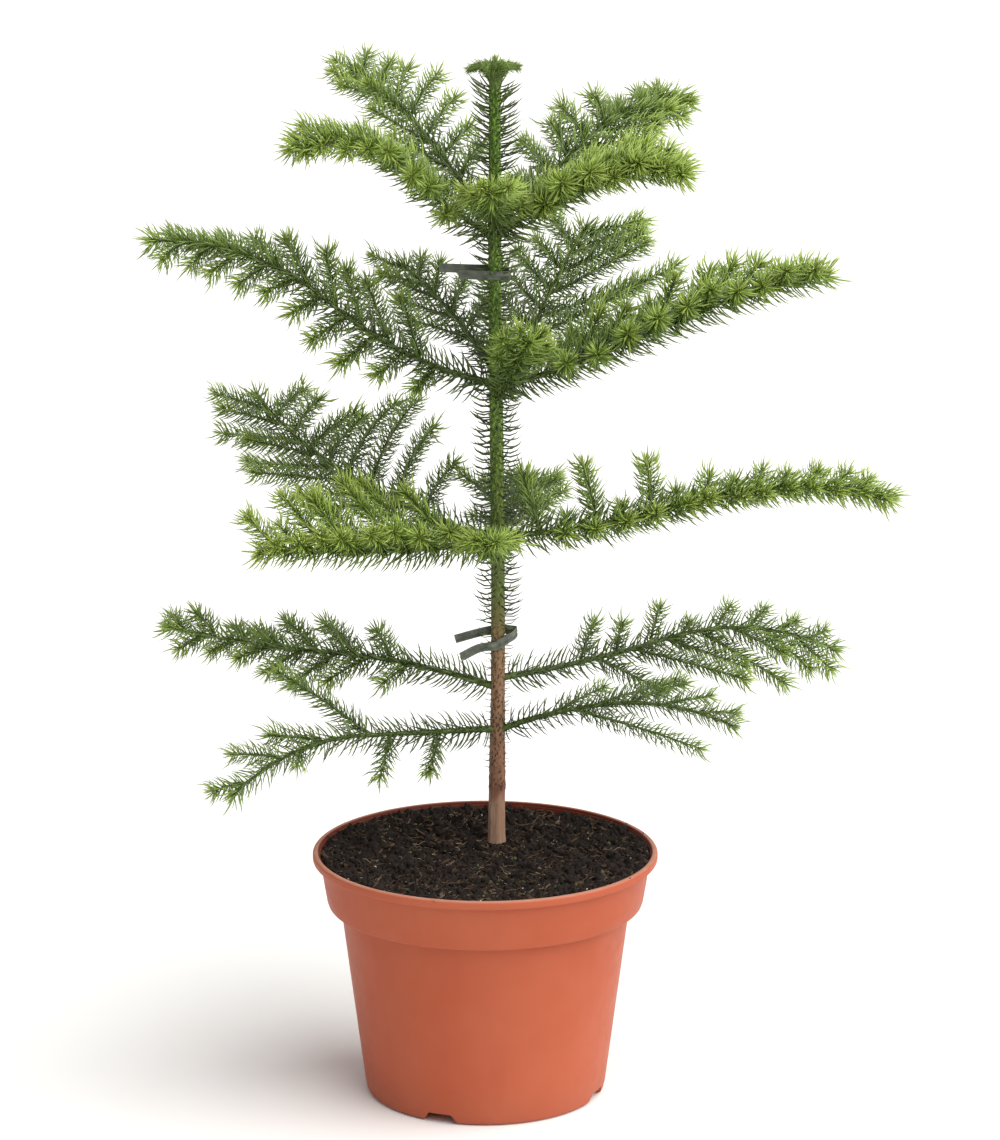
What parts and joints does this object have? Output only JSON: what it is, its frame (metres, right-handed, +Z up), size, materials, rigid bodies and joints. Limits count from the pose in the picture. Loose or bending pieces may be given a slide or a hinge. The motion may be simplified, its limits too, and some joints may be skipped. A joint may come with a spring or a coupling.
{
  "type": "potted norfolk island pine",
  "caption": "Young potted Norfolk Island pine: one slim upright trunk with flat whorls of needled fronds, growing in a round tapered terracotta-coloured nursery pot, for indoors or a patio.",
  "frame": {"origin": "centre of the pot's flat underside, on the ground", "axes": "+Z up along the trunk, -Y towards the viewer of the reference view, +X to the viewer's right"},
  "size_m": [0.3603, 0.2445, 0.513],
  "materials": {
    "pot_plastic": "satin terracotta-coloured moulded plastic",
    "peat": "dark moist fibrous peat compost with pale grains",
    "bark": "smooth tan-brown bark with needle scars, green towards the top",
    "green_shoot": "green young shoot",
    "tie_band": "dark grey-green flat plastic band",
    "needles": "mid-green needles",
    "fresh_needles": "bright yellow-green young needles"
  },
  "bodies": {
    "root": {"pot": "pot_plastic", "soil": "peat", "trunk": "bark", "tie_upper": "tie_band", "tie_lower": "tie_band", "mass_leader": "fresh_needles", "bough_a_left": "green_shoot", "bough_a_rear_left": "green_shoot", "bough_a_rear_right": "green_shoot", "bough_a_right": "green_shoot", "bough_a_front": "green_shoot", "bough_b_left": "green_shoot", "bough_b_right": "green_shoot", "bough_b_rear_right": "green_shoot", "bough_b_rear_left": "green_shoot", "bough_b_front": "green_shoot", "bough_c_rear_left": "green_shoot", "bough_c_left": "green_shoot", "bough_c_right": "green_shoot", "bough_c_front": "green_shoot", "bough_c_rear_right": "green_shoot", "bough_d_left": "green_shoot", "bough_d_right": "green_shoot", "bough_e_left": "green_shoot", "bough_e_right": "green_shoot", "mass_a_left": "fresh_needles", "mass_a_rear_left": "needles", "mass_a_rear_right": "needles", "mass_a_right": "fresh_needles", "mass_a_front": "fresh_needles", "mass_b_left": "needles", "mass_b_right": "needles", "mass_b_rear_right": "needles", "mass_b_rear_left": "needles", "mass_b_front": "fresh_needles", "mass_c_rear_left": "needles", "mass_c_left": "fresh_needles", "mass_c_right": "needles", "mass_c_front": "fresh_needles", "mass_c_rear_right": "needles", "mass_d_left": "needles", "mass_d_right": "needles", "mass_e_left": "needles", "mass_e_right": "needles"}
  },
  "joints": []
}
